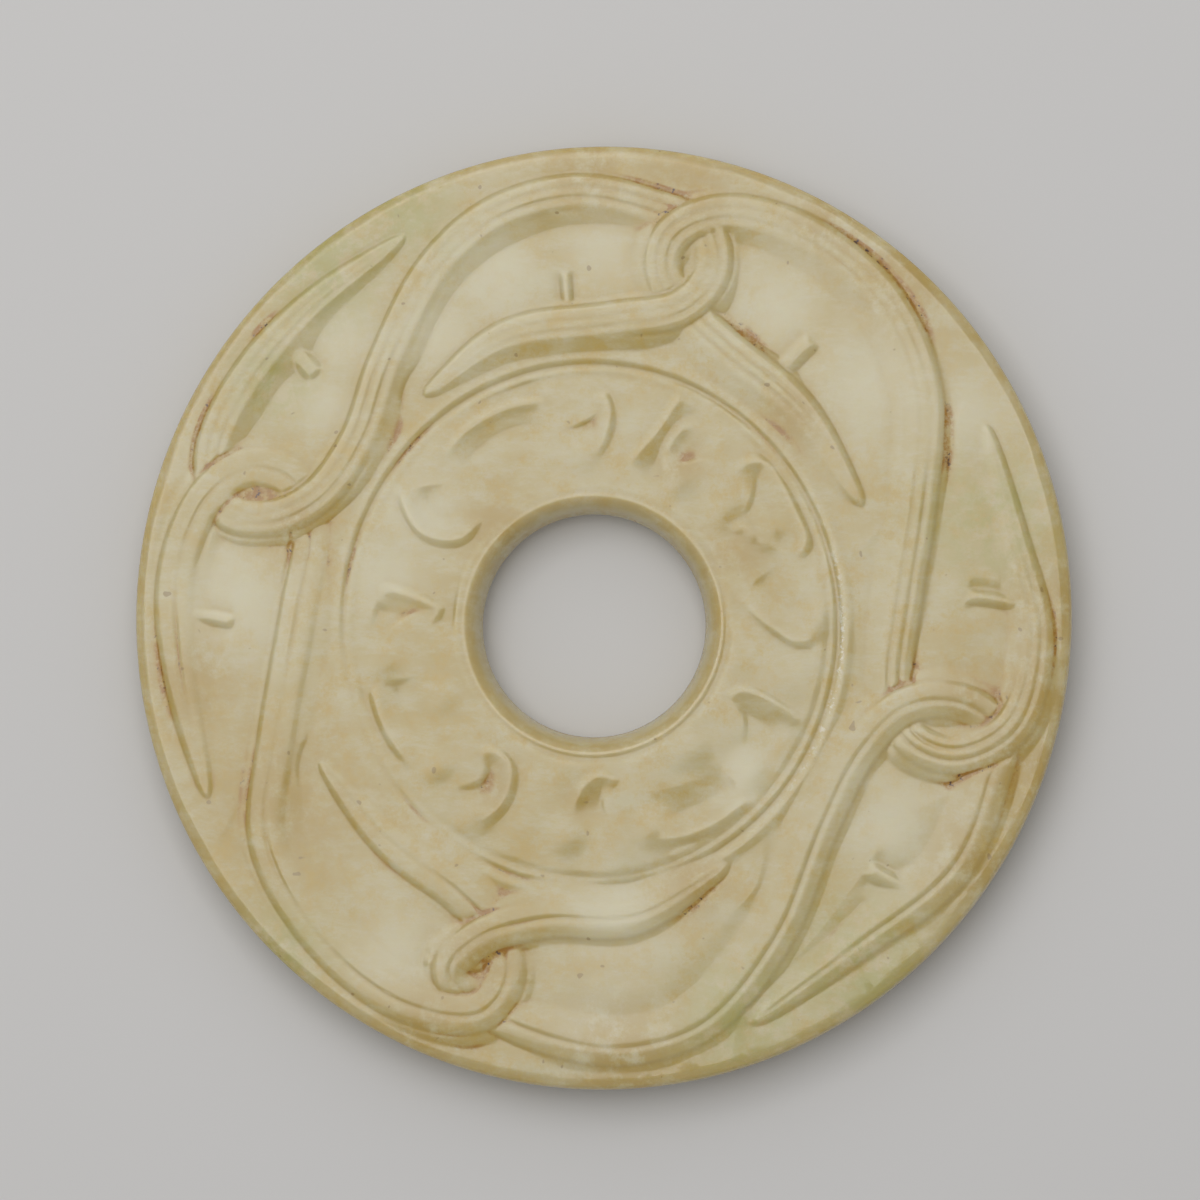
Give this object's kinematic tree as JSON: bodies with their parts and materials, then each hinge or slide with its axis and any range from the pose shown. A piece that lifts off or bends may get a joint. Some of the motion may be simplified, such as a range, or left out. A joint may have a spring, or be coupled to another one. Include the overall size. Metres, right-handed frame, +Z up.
{
  "type": "carved jade bi disc",
  "caption": "Flat jade ring disc with a round central hole, its upper face carved in low relief with interlaced knotted ribbons around a field of comma-shaped curls.",
  "frame": {"origin": "centre of the outline, on the flat underside", "axes": "+Z up out of the carved face, +Y towards the top of the carving as it is usually shown, +X to its right"},
  "size_m": [0.0796, 0.0804, 0.006],
  "materials": {
    "jade": "polished, translucent yellow-green nephrite with russet stains in the cut lines"
  },
  "bodies": {
    "root": {"bi_disc": "jade"}
  },
  "joints": []
}
